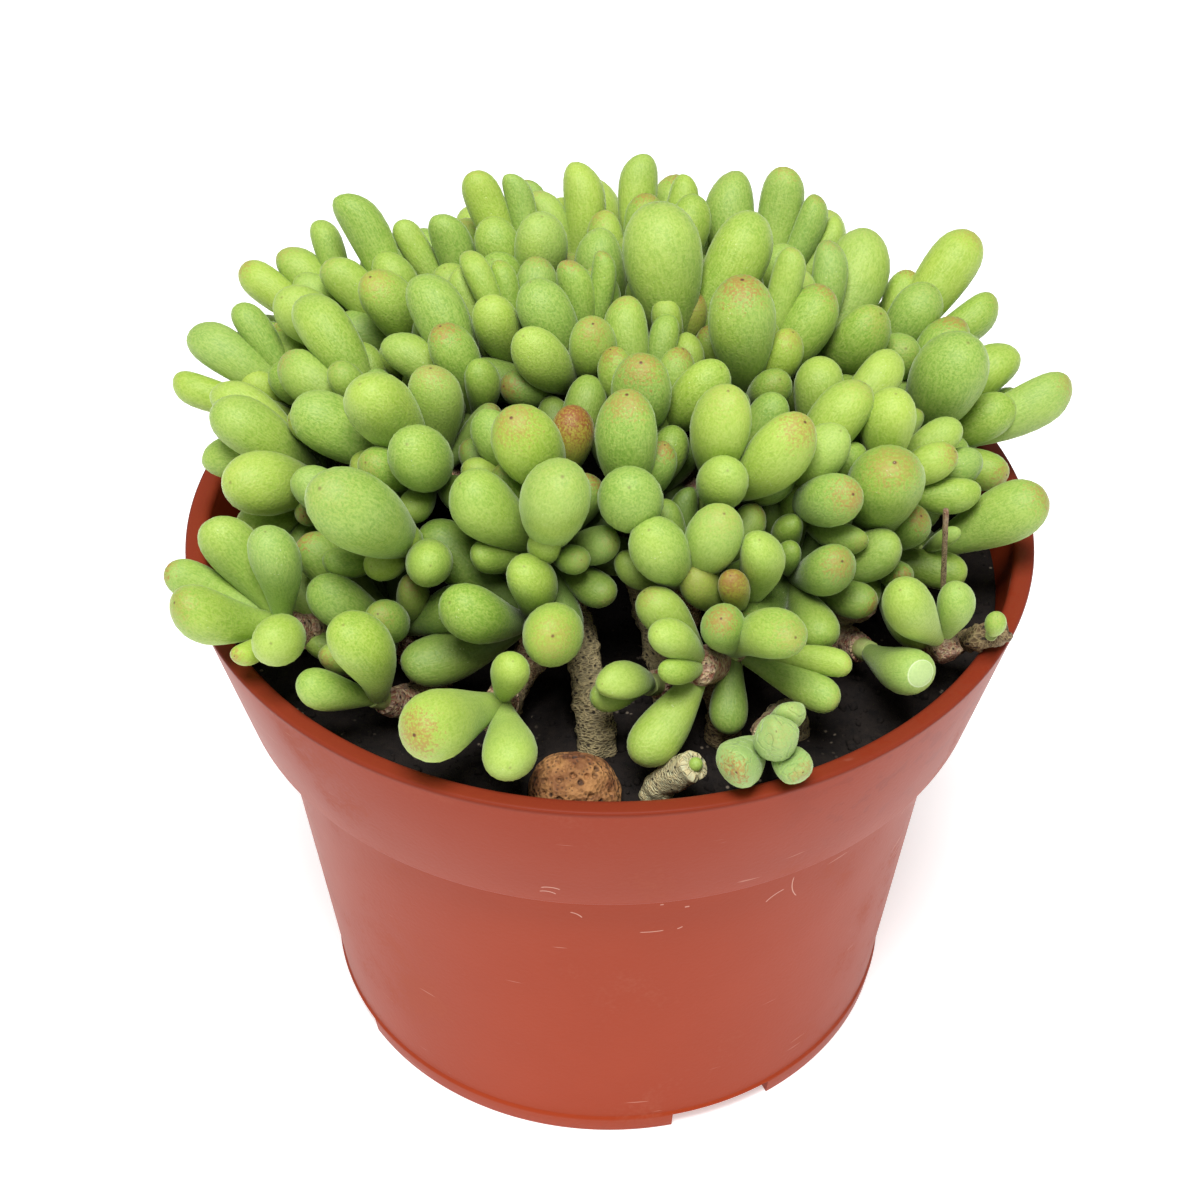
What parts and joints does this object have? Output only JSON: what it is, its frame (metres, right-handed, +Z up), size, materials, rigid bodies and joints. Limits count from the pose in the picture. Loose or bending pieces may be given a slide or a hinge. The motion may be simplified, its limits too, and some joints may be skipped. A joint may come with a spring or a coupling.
{
  "type": "potted succulent",
  "caption": "Low round nursery pot of soil with knobby woody stems carrying a wide dome of plump egg-shaped green leaves.",
  "frame": {"origin": "centre of the object's bounding box, on the resting plane under the pot's foot", "axes": "+Z up from the resting plane; +X to the viewer's right and -Y towards the viewer in the picture; the Y side is the object's shortest"},
  "size_m": [0.1489, 0.14, 0.1509],
  "materials": {
    "pot": "thin terracotta-red moulded plastic with a soft sheen",
    "soil": "dark moist peat soil with a little grit",
    "pebble": "rough pitted brown-orange stone",
    "bark": "knobby brown bark with leaf scars",
    "leaf": "smooth yellow-green skin with a pale bloom and orange-red tips"
  },
  "bodies": {
    "root": {"cut_stub": "bark", "leaves_back_02": "leaf", "leaves_back_03": "leaf", "leaves_back_04": "leaf", "leaves_back_06": "leaf", "leaves_centre": "leaf", "leaves_centre_front": "leaf", "leaves_centre_right": "leaf", "leaves_front_left": "leaf", "leaves_front_low": "leaf", "leaves_front_mid": "leaf", "leaves_left_edge": "leaf", "leaves_left_fan": "leaf", "leaves_left_inner": "leaf", "leaves_left_low": "leaf", "leaves_left_lower": "leaf", "leaves_left_rim": "leaf", "leaves_mid_left": "leaf", "leaves_mid_right": "leaf", "leaves_right_arm": "leaf", "leaves_right_centre": "leaf", "leaves_right_front": "leaf", "leaves_right_low": "leaf", "leaves_right_mid": "leaf", "leaves_right_rim": "leaf", "leaves_right_shelf": "leaf", "leaves_right_slope": "leaf", "leaves_right_top": "leaf", "leaves_rim_bud": "leaf", "leaves_rim_shoot": "leaf", "leaves_scarred": "leaf", "leaves_top_left_mid": "leaf", "leaves_top_mid": "leaf", "leaves_top_right": "leaf", "leaves_twin": "leaf", "leaves_upper_left": "leaf", "leaves_upper_left_back": "leaf", "leaves_upper_mid": "leaf", "pebble": "pebble", "pot": "pot", "soil": "soil", "stem_centre": "bark", "stem_front": "bark", "stem_front_left": "bark", "stem_left": "bark", "stem_right_arm": "bark", "stem_right_front": "bark", "stem_right_low": "bark", "stem_right_rim": "bark", "stem_scarred": "bark", "trunk_back": "bark", "trunk_back_left": "bark", "trunk_front": "bark", "trunk_left": "bark", "trunk_middle": "bark", "trunk_middle_left": "bark", "trunk_right": "bark"}
  },
  "joints": []
}
